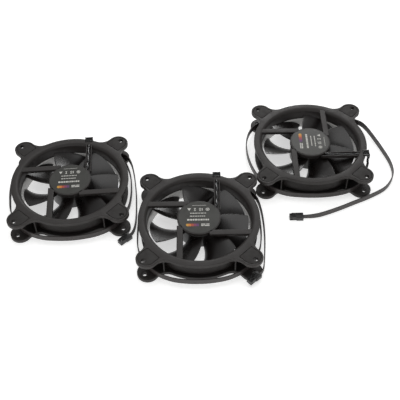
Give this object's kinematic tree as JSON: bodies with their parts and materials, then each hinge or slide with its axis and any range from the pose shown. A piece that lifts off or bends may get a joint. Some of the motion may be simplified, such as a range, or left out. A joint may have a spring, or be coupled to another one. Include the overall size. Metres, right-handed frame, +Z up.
{
  "type": "radiator fan set",
  "caption": "Row of square radiator fans with light rings, pinwheel struts, rubber corner pads and flat leads, lying outlet side up.",
  "frame": {"origin": "centre of the middle fan's front face, on the surface the fans lie on", "axes": "+X along the row from the left fan to the right fan, +Y to the back of the row, +Z up, out of the fans' outlet side"},
  "size_m": [0.4051, 0.2359, 0.0251],
  "materials": {
    "fan_plastic": "moulded black fan plastic with a fine matt grain",
    "pad_rubber": "soft black rubber corner pads",
    "diffuser": "milky clear diffuser plastic, unlit",
    "strip_tape": "white flexible light strip with small lamps",
    "blade_plastic": "smooth dark fan blades, satin gloss",
    "cup_steel": "drawn steel rotor cup",
    "magnet": "bonded ferrite magnet ring",
    "shaft_steel": "ground steel shaft",
    "clip_nylon": "nylon retaining clip",
    "bearing_bronze": "sintered bronze sleeve",
    "core_steel": "laminated electrical steel",
    "insulator_plastic": "off-white moulded bobbin plastic",
    "coil_copper": "enamelled copper winding",
    "board_plastic": "green circuit board",
    "label_foil": "dark printed label",
    "clip_plastic": "black nylon wire clip",
    "wire_jacket": "black insulated motor wires",
    "lead_jacket": "black ribbed flat lead",
    "plug_plastic": "black plug housing"
  },
  "bodies": {
    "middle_fan": {"middle_frame": "fan_plastic", "middle_back_pads": "pad_rubber", "middle_front_pads": "pad_rubber", "middle_light_ring": "diffuser", "middle_light_strip": "strip_tape", "middle_bearing": "bearing_bronze", "middle_stator_core": "core_steel", "middle_stator_insulator": "insulator_plastic", "middle_stator_coils": "coil_copper", "middle_motor_board": "board_plastic", "middle_label": "label_foil", "middle_lead_clip": "clip_plastic", "middle_motor_wires": "wire_jacket", "middle_lead": "lead_jacket", "middle_plug": "plug_plastic"},
    "left_fan": {"left_frame": "fan_plastic", "left_back_pads": "pad_rubber", "left_front_pads": "pad_rubber", "left_light_ring": "diffuser", "left_light_strip": "strip_tape", "left_bearing": "bearing_bronze", "left_stator_core": "core_steel", "left_stator_insulator": "insulator_plastic", "left_stator_coils": "coil_copper", "left_motor_board": "board_plastic", "left_label": "label_foil", "left_lead_clip": "clip_plastic", "left_motor_wires": "wire_jacket", "left_lead": "lead_jacket", "left_plug": "plug_plastic"},
    "right_fan": {"right_frame": "fan_plastic", "right_back_pads": "pad_rubber", "right_front_pads": "pad_rubber", "right_light_ring": "diffuser", "right_light_strip": "strip_tape", "right_bearing": "bearing_bronze", "right_stator_core": "core_steel", "right_stator_insulator": "insulator_plastic", "right_stator_coils": "coil_copper", "right_motor_board": "board_plastic", "right_label": "label_foil", "right_lead_clip": "clip_plastic", "right_motor_wires": "wire_jacket", "right_lead": "lead_jacket", "right_plug": "plug_plastic"},
    "middle_rotor": {"middle_impeller": "blade_plastic", "middle_rotor_cup": "cup_steel", "middle_magnet_ring": "magnet", "middle_shaft": "shaft_steel", "middle_shaft_clip": "clip_nylon"},
    "left_rotor": {"left_impeller": "blade_plastic", "left_rotor_cup": "cup_steel", "left_magnet_ring": "magnet", "left_shaft": "shaft_steel", "left_shaft_clip": "clip_nylon"},
    "right_rotor": {"right_impeller": "blade_plastic", "right_rotor_cup": "cup_steel", "right_magnet_ring": "magnet", "right_shaft": "shaft_steel", "right_shaft_clip": "clip_nylon"}
  },
  "joints": [
    {"name": "left_lift", "type": "slide", "parent": "middle_fan", "child": "left_fan", "axis": [0, 0, 1], "range_m": [0, 0.05]},
    {"name": "right_lift", "type": "slide", "parent": "middle_fan", "child": "right_fan", "axis": [0, 0, 1], "range_m": [0, 0.05]},
    {"name": "left_spin", "type": "hinge", "parent": "left_fan", "child": "left_rotor", "pos_m": [-0.132, 0.0534, 0], "axis": [0, 0, 1], "continuous": true},
    {"name": "middle_spin", "type": "hinge", "parent": "middle_fan", "child": "middle_rotor", "pos_m": [0, 0, 0], "axis": [0, 0, 1], "continuous": true},
    {"name": "right_spin", "type": "hinge", "parent": "right_fan", "child": "right_rotor", "pos_m": [0.12, 0.104, 0], "axis": [0, 0, 1], "continuous": true}
  ]
}
